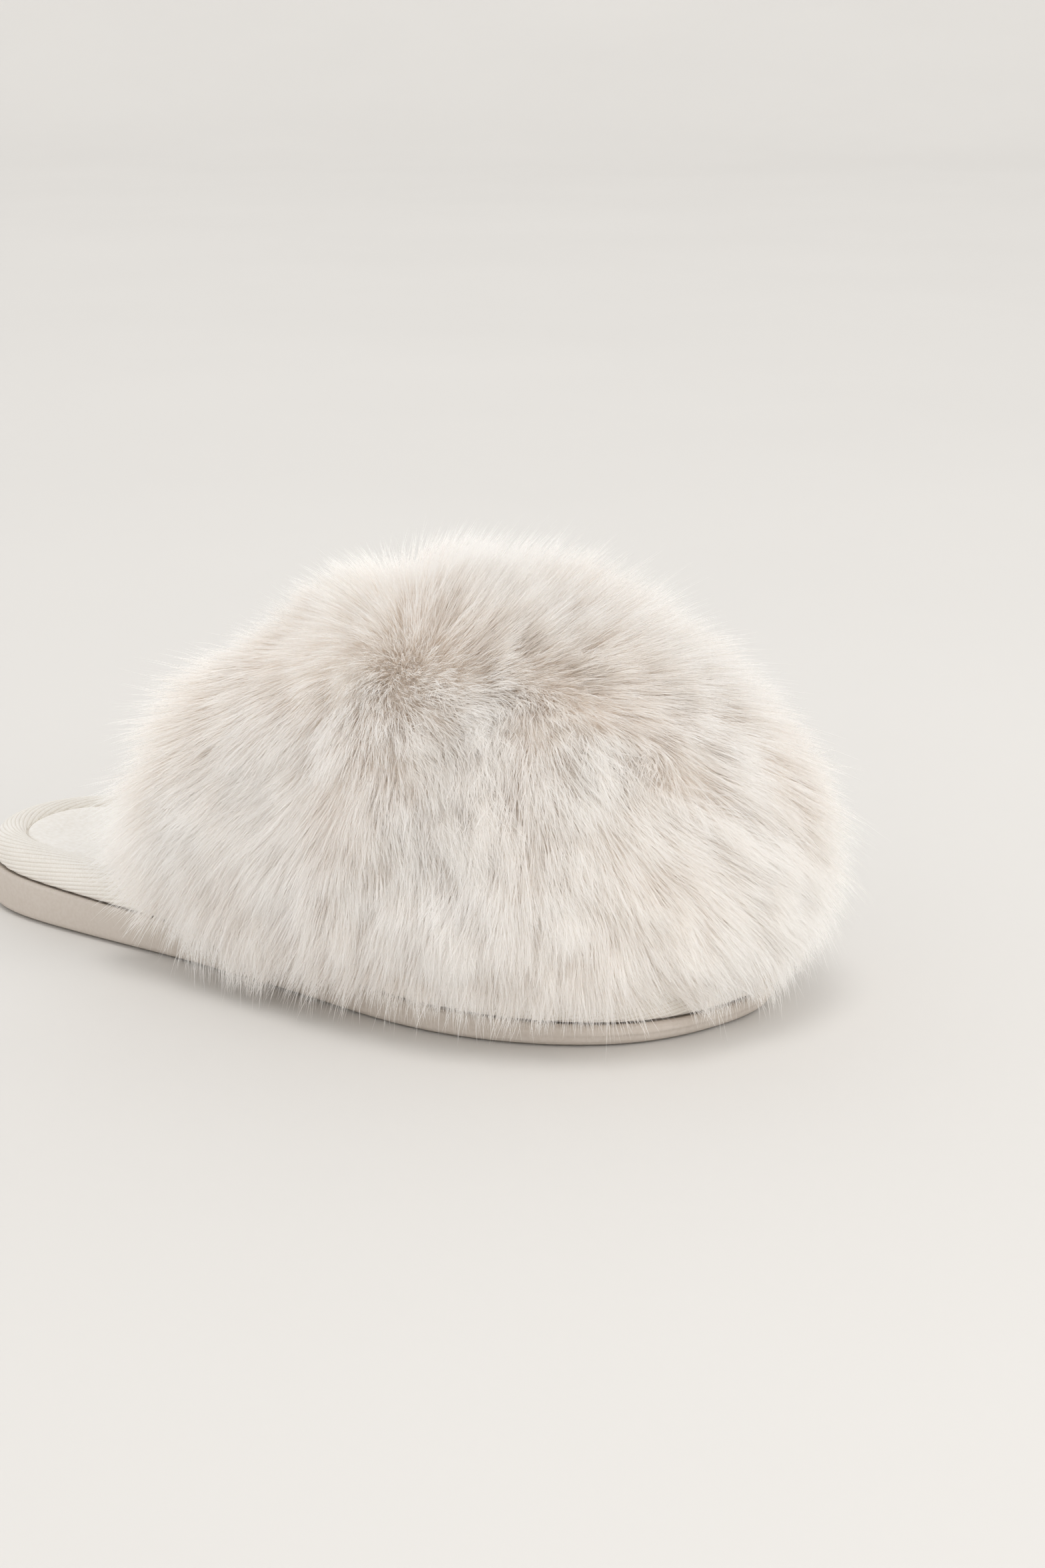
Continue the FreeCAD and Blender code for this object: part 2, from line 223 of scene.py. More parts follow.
def rgb(red, green, blue):
    """An sRGB colour, 0 to 255, as linear values."""
    return tuple(
        (c / 255 / 12.92 if c / 255 <= 0.04045 else ((c / 255 + 0.055) / 1.055) ** 2.4)
        for c in (red, green, blue)
    ) + (1.0,)


class Material:
    """A procedural material: a Principled shader with small helpers for the nodes before it."""

    def __init__(self, name, roughness, sheen=0.0):
        self.data = bpy.data.materials.new(name)
        self.data.use_nodes = True
        self.tree = self.data.node_tree
        self.shader = self.tree.nodes["Principled BSDF"]
        self.shader.inputs["Roughness"].default_value = roughness
        self.shader.inputs["Sheen Weight"].default_value = sheen
        self.shader.inputs["Sheen Roughness"].default_value = 0.5
        self.shader.inputs["Specular IOR Level"].default_value = 0.3
        self.place = self.node("ShaderNodeTexCoord").outputs["Object"]

    def node(self, kind, **values):
        made = self.tree.nodes.new(kind)
        for key, value in values.items():
            setattr(made, key, value)
        return made

    def link(self, output, socket):
        self.tree.links.new(output, socket)

    def noise(self, scale, detail=4.0, roughness=0.55, stretch=None):
        made = self.node("ShaderNodeTexNoise")
        made.inputs["Scale"].default_value = scale
        made.inputs["Detail"].default_value = detail
        made.inputs["Roughness"].default_value = roughness
        source = self.place
        if stretch:
            mapping = self.node("ShaderNodeMapping")
            mapping.inputs["Scale"].default_value = stretch
            self.link(source, mapping.inputs["Vector"])
            source = mapping.outputs["Vector"]
        self.link(source, made.inputs["Vector"])
        return made.outputs["Fac"]

    def ramp(self, factor, *stops):
        made = self.node("ShaderNodeValToRGB")
        points = made.color_ramp.elements
        while len(points) < len(stops):
            points.new(0.5)
        for point, (position, colour) in zip(points, stops):
            point.position = position
            point.color = colour
        self.link(factor, made.inputs["Fac"])
        return made.outputs["Color"]

    def mix(self, factor, first, second, blend="MIX"):
        made = self.node("ShaderNodeMix", data_type="RGBA", blend_type=blend)
        if isinstance(factor, float):
            made.inputs["Factor"].default_value = factor
        else:
            self.link(factor, made.inputs["Factor"])
        for value, socket in ((first, made.inputs[6]), (second, made.inputs[7])):
            if isinstance(value, tuple):
                socket.default_value = value
            else:
                self.link(value, socket)
        return made.outputs[2]

    def colour(self, source):
        self.link(source, self.shader.inputs["Base Color"])

    def roughness(self, factor, low, high):
        made = self.node("ShaderNodeMapRange")
        made.inputs["To Min"].default_value = low
        made.inputs["To Max"].default_value = high
        self.link(factor, made.inputs["Value"])
        self.link(made.outputs["Result"], self.shader.inputs["Roughness"])

    def bump(self, height, millimetres, strength=1.0):
        made = self.node("ShaderNodeBump")
        made.inputs["Strength"].default_value = strength
        made.inputs["Distance"].default_value = millimetres * MM
        self.link(height, made.inputs["Height"])
        if self.shader.inputs["Normal"].is_linked:
            before = self.shader.inputs["Normal"].links[0].from_socket
            self.link(before, made.inputs["Normal"])
        self.link(made.outputs["Normal"], self.shader.inputs["Normal"])


def moulded_sole():
    made = Material("moulded_sole", 0.55)
    clouds = made.ramp(
        made.noise(18, 5), (0.3, rgb(202, 193, 184)), (0.7, rgb(208, 200, 192))
    )
    specks = made.ramp(made.noise(900, 2), (0.35, rgb(232, 227, 220)), (0.6, rgb(255, 255, 255)))
    made.colour(made.mix(0.25, clouds, specks, "MULTIPLY"))
    made.roughness(made.noise(60), 0.45, 0.7)
    made.bump(made.noise(1500, 3), 0.02, 0.3)
    made.bump(made.noise(40, 2), 0.15, 0.3)
    return made.data


def ribbed_cloth():
    made = Material("ribbed_cloth", 0.85, 0.25)
    shade = made.ramp(made.noise(30, 4), (0.3, rgb(235, 231, 224)), (0.7, rgb(245, 242, 237)))
    yarn = made.ramp(made.noise(1600, 3), (0.3, rgb(226, 221, 213)), (0.65, rgb(255, 255, 255)))
    rib = made.node("ShaderNodeAttribute", attribute_name="crest")
    # The grooves between the ribs are coloured darker: painted shade in the grooves, driven by the
    # crest attribute.
    painted_groove_shade = made.ramp(rib.outputs["Fac"], (0.1, rgb(232, 227, 220)), (0.6, rgb(255, 255, 255)))
    made.colour(made.mix(1.0, made.mix(0.3, shade, yarn, "MULTIPLY"), painted_groove_shade, "MULTIPLY"))
    made.bump(made.noise(2200, 2), 0.05, 0.6)
    return made.data


def plush():
    made = Material("plush", 0.9, 0.5)
    shade = made.ramp(made.noise(22, 4), (0.3, rgb(241, 238, 233)), (0.7, rgb(247, 244, 240)))
    nap = made.ramp(made.noise(700, 4), (0.3, rgb(230, 225, 216)), (0.65, rgb(255, 255, 255)))
    made.colour(made.mix(0.4, shade, nap, "MULTIPLY"))
    made.bump(made.noise(1100, 4), 0.25, 0.8)
    return made.data


def cloth(name, light, dark, scale, height, sheen=0.3):
    """A plain soft material: clouds of two shades and a fine bump."""
    made = Material(name, 0.9, sheen)
    made.colour(made.ramp(made.noise(scale, 5), (0.3, rgb(*dark)), (0.7, rgb(*light))))
    made.bump(made.noise(scale * 4, 4), height, 0.8)
    return made.data


def foam(name, light, dark):
    made = Material(name, 0.95)
    made.colour(made.ramp(made.noise(40, 5), (0.3, rgb(*dark)), (0.7, rgb(*light))))
    cells = made.node("ShaderNodeTexVoronoi")
    cells.inputs["Scale"].default_value = 1400
    made.link(made.place, cells.inputs["Vector"])
    made.bump(cells.outputs["Distance"], 0.2, 0.7)
    return made.data


def fur_material(name, root, middle, tip):
    """Colour from root to tip, the roots a little warmer and darker as painted shade deep in the
    pile, with each strand and each tuft a little lighter or darker.
    """
    made = Material(name, 0.7)
    strand = made.node("ShaderNodeAttribute", attribute_name="strand")
    parts = made.node("ShaderNodeSeparateColor")
    made.link(strand.outputs["Color"], parts.inputs["Color"])
    # Root to tip: the warmer, darker root colour is painted shade deep in the pile.
    along = made.ramp(
        parts.outputs["Red"], (0.0, rgb(*root)), (0.45, rgb(*middle)), (0.9, rgb(*tip))
    )
    single = made.ramp(
        parts.outputs["Green"], (0.0, rgb(252, 251, 250)), (0.5, rgb(254, 254, 254)),
        (1.0, rgb(255, 255, 255))
    )
    patch = made.ramp(made.noise(28, 3), (0.35, rgb(254, 253, 252)), (0.65, rgb(255, 255, 255)))
    shade = made.mix(1.0, made.mix(1.0, along, single, "MULTIPLY"), patch, "MULTIPLY")
    made.colour(shade)
    through = made.node("ShaderNodeBsdfTranslucent")
    made.link(shade, through.inputs["Color"])
    both = made.node("ShaderNodeMixShader")
    both.inputs["Fac"].default_value = 0.5
    made.link(made.shader.outputs["BSDF"], both.inputs[1])
    made.link(through.outputs["BSDF"], both.inputs[2])
    made.link(both.outputs["Shader"], made.tree.nodes["Material Output"].inputs["Surface"])
    return made.data


def thread_material():
    made = Material("thread", 0.6, 0.2)
    made.colour(made.ramp(made.noise(900, 3), (0.3, rgb(214, 207, 196)), (0.7, rgb(232, 227, 218))))
    made.bump(made.noise(3000, 2), 0.05, 0.6)
    return made.data


MOULDED = moulded_sole()
RIBBED = ribbed_cloth()
PLUSH = plush()
FLEECE = cloth("fleece", (240, 235, 226), (224, 217, 206), 500, 0.35, 0.5)
KNIT = cloth("knit_backing", (226, 220, 210), (206, 198, 186), 900, 0.15)
BINDING = cloth("binding_tape", (232, 227, 219), (216, 209, 199), 1300, 0.12)
FELT = cloth("filler_felt", (206, 199, 187), (186, 178, 165), 700, 0.2)
BOARD = cloth("fibre_board", (196, 176, 150), (172, 152, 126), 350, 0.08, 0.0)
FOAM = foam("soft_foam", (242, 234, 208), (228, 218, 188))
THREAD = thread_material()
UNDERCOAT = cloth("undercoat", (253, 250, 247), (250, 246, 242), 420, 0.5)
# The root colour, warmer and darker than the tip, is painted shade deep in the pile.
FUR = fur_material("faux_fur", (251, 246.5, 241.5), (254, 252.5, 251), (255, 255, 254.5))


# ---- outsole ------------------------------------------------------------------------------------

GROOVE = {"length": 54.0, "width": 2.4, "depth": 1.5, "pitch": 9.5}
GROOVED = ((0.13, 0.36), (0.50, 0.90))  # stretches with grooves, as shares of the length
BOTTOM_ROUND = 3.0
TOP_ROUND = 1.1
SIDE_BULGE = 0.35
SEAT_DEPTH = 0.6
FLAT_INSET = 6.0


def deck_height(y):
    """Height of the outsole's top face above the floor."""
    return DECK_MID + y * math.tan(TILT)


def make_outsole():
    """Rings from the middle of the deck out, down the side and round to the sole's flat bottom."""
    columns = 420
    shares = np.arange(columns) / columns
    # Each ring: inset from the edge, share of the way from floor to deck, and a fixed lift.
    rings = [(16.0, 1.0, -SEAT_DEPTH), (6.0, 1.0, -SEAT_DEPTH), (2.6, 1.0, -SEAT_DEPTH)]
    rings.append((1.9, 1.0, -0.1))
    for step in range(7):
        angle = math.pi / 2 * step / 6
        drop = TOP_ROUND * math.cos(angle)
        rings.append((TOP_ROUND - TOP_ROUND * math.sin(angle), 1.0, -TOP_ROUND + drop))
    for step in range(1, 10):
        share = step / 10
        bulge = SIDE_BULGE * math.sin(math.pi * share)
        rings.append((0.05 - bulge, 1.0 - share, -TOP_ROUND * (1 - share) + BOTTOM_ROUND * share))
    for step in range(9):
        angle = math.pi / 2 * step / 8
        inset = BOTTOM_ROUND - BOTTOM_ROUND * math.cos(angle) + 0.05
        rings.append((inset, 0.0, BOTTOM_ROUND - BOTTOM_ROUND * math.sin(angle)))
    rings.append((FLAT_INSET, 0.0, 0.0))
    points = []
    for inset, share, lift in rings:
        edge = outline(shares, np.full(columns, -inset))
        top = deck_height(edge[:, 1])
        z = share * top + lift
        points.append(np.stack([edge[:, 0] + CENTRE[0], edge[:, 1] + CENTRE[1], z], -1) * MM)
    verts = np.concatenate(points)
    faces = [f[::-1] for f in grid_faces(len(rings), columns, True)]
    faces.append(tuple(range(columns)))
    piece = make_object("outsole_body", verts, faces, MOULDED)
    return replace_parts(piece, "outsole")


def groove_depth(x, y):
    """How deep the tread is cut at points under the sole."""
    depth = np.zeros_like(x)
    half_width, half_length = GROOVE["width"] / 2, GROOVE["length"] / 2
    ends = 1 - smooth(half_length - 0.6, half_length, np.abs(x))
    for start, end in GROOVED:
        for index in range(int((end - start) * LENGTH / GROOVE["pitch"])):
            middle = HEEL_Y - start * LENGTH - index * GROOVE["pitch"] + half_width
            cut = 1 - smooth(half_width - 0.25, half_width + 0.25, np.abs(y - middle))
            depth = np.maximum(depth, cut * ends)
    return depth * GROOVE["depth"]


def make_tread():
    """The bottom face inside the rounded edge, with its grooves."""
    rows, columns = 560, 90
    shares = np.linspace(0, 1, 4001)
    loop = outline(shares, np.full(shares.shape, -FLAT_INSET))
    low, high = loop[:, 1].min(), loop[:, 1].max()
    ys = (low + high) / 2 + (high - low) / 2 * np.sin(np.linspace(-1, 1, rows) * math.pi / 2)
    turn = int(np.argmin(loop[:, 1]))
    outer, inner = loop[:turn + 1], loop[turn:]
    left = np.interp(ys, outer[::-1, 1], outer[::-1, 0])
    right = np.interp(ys, inner[:, 1], inner[:, 0])
    x = left[:, None] + (right - left)[:, None] * np.linspace(0, 1, columns)
    y = np.repeat(ys[:, None], columns, axis=1)
    placed = np.stack([x + CENTRE[0], y + CENTRE[1], groove_depth(x, y)], -1)
    faces = [f[::-1] for f in grid_faces(rows, columns, False)]
    return make_object("outsole_tread", placed.reshape(-1, 3) * MM, faces, MOULDED)


# ---- platform -----------------------------------------------------------------------------------

WELL_FRONT = 6.9
WELL_HEEL = 11.5
RIB_PITCH = 1.35
RIB_DEPTH = 0.3
RIB_TURNS = 84
WRAP_THICKNESS = 0.8
WRAP_HIDDEN = 10.5  # the margin turned under the board, with a coarser mesh
RIM_OUTER = 3.7  # inset of the bead's outer side
RIM_GAP = 0.4  # between the bead and the well's edge
RIM_MIDDLE, RIM_HALF = 5.6, 2.9  # height on the deck, and half the bead's own height
RIM_SQUARE = 0.7  # a power below 1 squares the bead's section


def well_inset(y):
    """Inset of the footbed well's edge: a wide rim round the heel, a narrow one under the upper."""
    return WELL_FRONT + (WELL_HEEL - WELL_FRONT) * smooth(-12, 18, y)


def smooth_path(points, count):
    """Evenly spaced points on a smooth open curve through a few points, by Catmull-Rom spans."""
    points = np.array(points, float)
    padded = np.vstack([2 * points[0] - points[1], points, 2 * points[-1] - points[-2]])
    dense = []
    for i in range(1, len(padded) - 2):
        t = np.linspace(0, 1, 40, endpoint=False)[:, None]
        a, b, c, d = padded[i - 1:i + 3]
        dense.append(0.5 * (2 * b + (c - a) * t + (2 * a - 5 * b + 4 * c - d) * t ** 2
                            + (3 * b - a - 3 * c + d) * t ** 3))
    dense = np.vstack(dense + [points[-1:]])
    run = np.concatenate([[0], np.cumsum(np.linalg.norm(np.diff(dense, axis=0), axis=1))])
    even = np.linspace(0, run[-1], count)
    return np.stack([np.interp(even, run, dense[:, k]) for k in (0, 1)], -1), run[-1]


# Across the wrap from under the board, up the side, over the rim and down into the seam: inset as
# a share of the well's inset, and height on the deck.
WRAP_PATH = [
    (1.34, 0.15), (0.80, 0.12), (0.37, 0.12), (0.24, 0.42), (0.18, 1.4), (0.155, 3.4),
    (0.16, 5.6), (0.20, 7.6), (0.31, 9.1), (0.50, 9.85), (0.70, 9.75), (0.86, 9.2),
    (0.96, 8.3), (1.0, 7.3),
]


def make_wrap():
    """The ribbed cloth: its ribs are part of the mesh and run slightly off the edge's line."""
    columns = 640
    path, length = smooth_path([(a * WELL_HEEL, z) for a, z in WRAP_PATH], 600)
    run = np.linspace(0, length, len(path))
    lean = unit(np.gradient(path, axis=0))
    section = np.column_stack([path, -lean[:, 1], lean[:, 0]])
    shares = np.arange(columns) / columns
    inner = well_inset(outline(shares)[:, 1])
    wander = 0.5 * np.sin(2 * math.pi * shares * 3) - RIB_PITCH * RIB_TURNS * shares
    hidden = np.linspace(0, WRAP_HIDDEN, 7)[:-1]
    face = np.concatenate([hidden, np.linspace(WRAP_HIDDEN, length, 118)])
    back = np.linspace(length, 0, 16)
    verts, crests = [], []
    for travelled in np.concatenate([face, back]):
        at_back = len(verts) >= len(face)
        inset, z, out_across, out_up = (np.interp(travelled, run, field) for field in section.T)
        crest = np.abs(np.sin(math.pi * (travelled + wander) / RIB_PITCH)) ** 0.8
        rise = np.full(columns, -WRAP_THICKNESS) if at_back else crest * RIB_DEPTH
        into_well = smooth(0.3, 1.0, inset / WELL_HEEL) * (travelled > length / 2)
        insets = inset * (1 + into_well * (inner / WELL_HEEL - 1)) + rise * out_across
        flat = outline(shares, -insets)
        verts.append(on_deck(flat[:, 0], flat[:, 1], z + out_up * rise))
        crests.append(crest)
    total = len(verts) * columns
    closed = grid_faces(len(verts) + 1, columns, True)
    faces = [tuple(v % total for v in corners[::-1]) for corners in closed]
    piece = make_object(
        "platform_wrap_cloth", np.concatenate(verts), faces, RIBBED
    )
    # crest shapes the ribs and also paints shade into their grooves in the cloth's colour.
    layer = piece.data.attributes.new("crest", "FLOAT", "POINT")
    layer.data.foreach_set("value", np.concatenate(crests).astype(np.float32))
    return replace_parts(piece, "platform_wrap")


def spine(shares, inset):
    """The nearest point of the footbed's centre line to each outline point."""
    edge = outline(shares, -inset)
    low, high = edge[:, 1].min(), edge[:, 1].max()
    y = np.clip(edge[:, 1], low + 34, high - 24)
    middle = 0.04 * WIDTH * smooth(20, -90, y)
    return np.stack([middle, y], -1), edge


def make_pad(name, node, inset, bottom, top, dish, edge_round, material):
    """A soft slab that fills the well: dished in the middle and rounded along its edge."""
    rows, columns = 40, 260
    shares = np.arange(columns) / columns
    centre, edge = spine(shares, well_inset(outline(shares)[:, 1]) + inset)
    distance = np.linalg.norm(edge - centre, axis=1)
    verts = []
    for reach in np.sin(np.linspace(0, 1, rows) * math.pi / 2):
        flat = centre + (edge - centre) * reach
        from_edge = distance * (1 - reach)
        sink = dish * smooth(0, 16, from_edge) * (0.75 + 0.25 * smooth(-30, 60, flat[:, 1]))
        into_round = np.clip(1 - from_edge / edge_round, 0, 1)
        corner = edge_round * (1 - np.sqrt(np.clip(1 - into_round ** 2, 0, 1)))
        puff = 0.12 * noise(np.stack([flat[:, 0], flat[:, 1], 0 * flat[:, 0]], -1), 26, 5)
        verts.append(on_deck(flat[:, 0], flat[:, 1], top - sink - corner + puff))
    for reach in (1.0, 0.85, 0.02):
        flat = centre + (edge - centre) * reach
        verts.append(on_deck(flat[:, 0], flat[:, 1], np.full(columns, bottom)))
    faces = grid_faces(len(verts), columns, True)
    piece = make_object(name, np.concatenate(verts), faces, material)
    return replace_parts(piece, node)


def make_rim():
    """The foam bead under the wrap's roll: a closed rounded section swept round the sole."""
    columns, around = 300, 20
    shares = np.arange(columns) / columns
    inner = well_inset(outline(shares)[:, 1])
    verts = []
    for step in range(around):
        angle = 2 * math.pi * step / around
        cos, sin = math.cos(angle), math.sin(angle)
        across = 0.5 - 0.5 * np.sign(cos) * abs(cos) ** RIM_SQUARE
        insets = RIM_OUTER + (inner - RIM_GAP - RIM_OUTER) * across
        z = RIM_MIDDLE + RIM_HALF * np.sign(sin) * abs(sin) ** RIM_SQUARE
        flat = outline(shares, -insets)
        verts.append(on_deck(flat[:, 0], flat[:, 1], np.full(columns, z)))
    verts.append(verts[0])
    piece = make_object(
        "rim_bead", np.concatenate(verts), grid_faces(around + 1, columns, True), FOAM
    )
    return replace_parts(piece, "rim_padding")


# ---- upper's inner layers -----------------------------------------------------------------------

def upper_grid(grow, rows, columns, shift=0.0):
    """Deck points of one dome in front of the topline, row by row from hem to closed crown."""
    top = BACKING_TOP + grow - BACKING_GROW
    rises = np.sin(np.linspace(0, 1, rows - 1) * math.pi / 2 * 0.98) ** 0.9
    fine = np.linspace(0, 1, 2001)
    grid = []
    for rise in np.append(rises, 1.0):
        loop = dome_point(fine, np.full(fine.shape, rise), grow, top)
        inside = loop[:, 1] < topline_y(loop[:, 2], shift)
        index = np.nonzero(inside)[0]
        first, last = fine[index[0]], fine[index[-1]]
        across = np.linspace(first, last, columns)
        grid.append(dome_point(across, np.full(columns, rise), grow, top))
    return np.array(grid)


def make_shell(name, node, grow, thickness, material):
    """One layer of the upper: a dome cut along the topline, thickened outwards."""
    rows, columns = 60, 150
    grid = upper_grid(grow, rows, columns)
    verts = on_deck(grid[..., 0], grid[..., 1], grid[..., 2]).reshape(-1, 3)
    piece = make_object(name, verts, grid_faces(rows, columns, False), material)
    thicken(piece, thickness, 1.0)
    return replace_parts(piece, node)


def topline_curve(grow, shift=0.0, rows=240):
    """Deck points along the opening's edge, from the outer side over the top to the inner side."""
    grid = upper_grid(grow, rows, 3, shift)
    apart = np.linalg.norm(grid[:, 0] - grid[:, 2], axis=1)
    last = int(np.argmax(apart < 2.0)) if (apart < 2.0).any() else rows
    return np.vstack([grid[:last, 0], grid[:last, 2][::-1]])


def even_path(points, pitch):
    """Points a pitch apart along an open path."""
    run = np.concatenate([[0], np.cumsum(np.linalg.norm(np.diff(points, axis=0), axis=1))])
    even = np.linspace(0, run[-1], max(2, int(round(run[-1] / pitch))))
    return np.stack([np.interp(even, run, points[:, k]) for k in range(3)], -1)


def topline_frame(path):
    """Along, outward and backward directions on the topline."""
    along = unit(np.gradient(path, axis=0))
    middle = np.array([2.0, -30.0, 30.0])
    outward = path - middle
    outward = unit(outward - (outward * along).sum(-1, keepdims=True) * along)
    backward = np.cross(along, outward)
    backward *= np.sign(backward[:, 1].mean())
    return along, outward, backward


TAPE_DEPTH = 9.0  # how far the folded tape reaches forward on each side
TAPE_HALF = 4.1  # half the space between its two sides
TAPE_ROLL = 0.55  # the fold's reach backwards, as a share of that half
TAPE_THICKNESS = 0.7


def make_binding():
    """A tape folded over the opening's edge, with a soft roll at the fold."""
    path = even_path(topline_curve(-4.9), 1.6)
    outward, backward = topline_frame(path)[1:]
    section = [(-TAPE_DEPTH + TAPE_DEPTH * k / 6, TAPE_HALF) for k in range(7)]
    section += [
        (TAPE_HALF * TAPE_ROLL * math.cos(a), TAPE_HALF * math.sin(a))
        for a in np.linspace(math.pi / 2, -math.pi / 2, 9)[1:-1]
    ]
    section += [(-TAPE_DEPTH * k / 6, -TAPE_HALF) for k in range(7)]
    grid = [path + backward * (back + 0.3) + outward * out for back, out in section]
    grid = np.array(grid)
    verts = on_deck(grid[..., 0], grid[..., 1], grid[..., 2]).reshape(-1, 3)
    piece = make_object(
        "binding_tape", verts, grid_faces(len(section), len(path), False), BINDING
    )
    thicken(piece, TAPE_THICKNESS, 0.0)
    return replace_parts(piece, "topline_binding")


STITCH_PITCH = 4.2
STITCH_LENGTH = 3.0
STITCH_RADIUS = 0.38


def make_stitches(name, path, outward, node):
    """Short rounded stitches along a path that dip into the cloth at both ends."""
    sides, rings = 8, 7
    along = unit(np.gradient(path, axis=0))
    verts, faces = [], []
    for point, direction, up in zip(path, along, outward):
        side = np.cross(direction, up)
        base = len(verts)
        for ring in range(rings):
            share = ring / (rings - 1) * 2 - 1
            thick = STITCH_RADIUS * math.sqrt(max(1 - abs(share) ** 3, 0.02))
            middle = point + direction * share * STITCH_LENGTH / 2 - up * 0.35 * share * share
            for k in range(sides):
                angle = 2 * math.pi * k / sides
                verts.append(middle + (side * math.cos(angle) + up * math.sin(angle)) * thick)
        faces += [tuple(base + v for v in face) for face in grid_faces(rings, sides, True)]
        faces.append(tuple(base + k for k in range(sides))[::-1])
        faces.append(tuple(base + (rings - 1) * sides + k for k in range(sides)))
    verts = np.array(verts)
    piece = make_object(
        name, on_deck(verts[:, 0], verts[:, 1], verts[:, 2]), faces, THREAD
    )
    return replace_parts(piece, node)


def seam_on_sole(inset, height, keep):
    """Stitch places round the sole, where keep is true of their y."""
    count = int(ROUND / STITCH_PITCH)
    shares = np.arange(count) / count
    flat = outline(shares, np.full(count, -inset))
    points = np.concatenate([flat, np.full((count, 1), height)], -1)
    return points[keep(points[:, 1])]


# ---- fur ----------------------------------------------------------------------------------------

CROWN = np.array([-4.0, -22.0, 106.0])  # the pile lies away from here
INSIDE = np.array([0.0, -20.0, 30.0])
DOWN = np.array([0.0, 0.0, -1.0])
STRANDS, STRAND_PIECES, STRAND_WIDTH = 300000, 8, 0.19
LOCKS = 30000
PILE, TOE_PILE = 26.5, 12  # fibre lengths over the dome and at the hem in front of the toe
HEM_BAND = (44, 10)  # heights on the deck between which the dome's pile turns into the hem's
PARTING = (-24, -10)  # distances along the slipper over which the pile turns back at the crown
KNOTS = 4  # points along a strand
BURIED = 0.34  # share of each strand that the others hide, which isn't made
STEPS_ALONG = 12
UNDERCOAT_THICK = 10.0
PROUD = (0.003, 0.011)  # metres that tips may pass the CAD's box, from strand to strand
FLOOR_GAP = 0.0015


def fur_surface(rows=220, columns=520):
    """The knit backing's outer face as points and normals, for rooting the pile."""
    shares = np.arange(columns + 1) / columns
    points = np.array([
        dome_point(shares, np.full(shares.shape, rise), BACKING_GROW, BACKING_TOP)
        for rise in np.sin(np.linspace(0, 1, rows) * math.pi / 2 * 0.985) ** 0.9
    ])
    down_rows = np.gradient(points, axis=0)
    round_columns = np.gradient(points, axis=1)
    normals = unit(np.cross(round_columns, down_rows))
    normals *= np.sign((normals * (points - INSIDE)).sum(-1, keepdims=True))
    return points, normals


def scatter(count, seed, behind):
    """Roots evenly scattered over the backing, up to behind millimetres past the topline."""
    rng = np.random.default_rng(seed)
    points, normals = fur_surface()
    a, b, c = points[:-1, :-1], points[1:, :-1], points[:-1, 1:]
    area = np.linalg.norm(np.cross(b - a, c - a), axis=-1)
    weight = (area * (a[..., 1] < topline_y(a[..., 2], behind))).ravel()
    cells = rng.choice(weight.size, size=count, p=weight / weight.sum())
    row, column = np.divmod(cells, area.shape[1])
    u, v = rng.random(count)[:, None], rng.random(count)[:, None]

    def blend(field):
        low = field[row, column] * (1 - v) + field[row, column + 1] * v
        high = field[row + 1, column] * (1 - v) + field[row + 1, column + 1] * v
        return low * (1 - u) + high * u

    placed = blend(points)
    above_hem = placed[:, 2] > UPPER_BOTTOM + 1.5
    return placed[above_hem], unit(blend(normals))[above_hem]


def turned(directions, normals, angles):
    """Directions in the surface, turned about the normals."""
    side = np.cross(normals, directions)
    return directions * np.cos(angles)[:, None] + side * np.sin(angles)[:, None]


def flow(points, normals):
    """The lie of the pile: away from the crown, swirled a little, and back over the opening."""
    away = points - CROWN + DOWN * 10
    tangent = unit(away - (away * normals).sum(-1, keepdims=True) * normals)
    swirl = 0.32 * noise(points, 70, 11) + 0.16 * noise(points, 32, 12)
    lie = turned(tangent, normals, swirl)
    at_opening = smooth(-14, 2, points[:, 1] - topline_y(points[:, 2]))[:, None]
    lie += np.array([0, 1.1, 0.1]) * at_opening
    return unit(lie - (lie * normals).sum(-1, keepdims=True) * normals)


def nearest(centres, points):
    tree = KDTree(len(centres))
    for index, centre in enumerate(centres):
        tree.insert(centre, index)
    tree.balance()
    return np.array([tree.find(point)[1] for point in points])


def pile_length(points, share):
    """Long over the dome, short at the hem and where the crown parts; share varies it."""
    y, z = points[:, 1], points[:, 2]
    low = smooth(*HEM_BAND, z)
    rear = smooth(-14, 26, y)
    top = smooth(70, 92, z)
    hem = TOE_PILE + 1.0 * smooth(-112, -85, y) + 9 * smooth(-62, -10, y) - 5 * smooth(8, 30, y)
    length = PILE - (PILE - hem) * low + 3 * rear * (1 - low) * (1 - top)
    length += top * (2.5 * smooth(-20, -36, y) - 8 * smooth(*PARTING, y))
    length = length * (1 + (share - 1) * (1 + low))
    return length * (1 + 0.06 * noise(points, 19, 34) + 0.04 * noise(points, 8, 35))


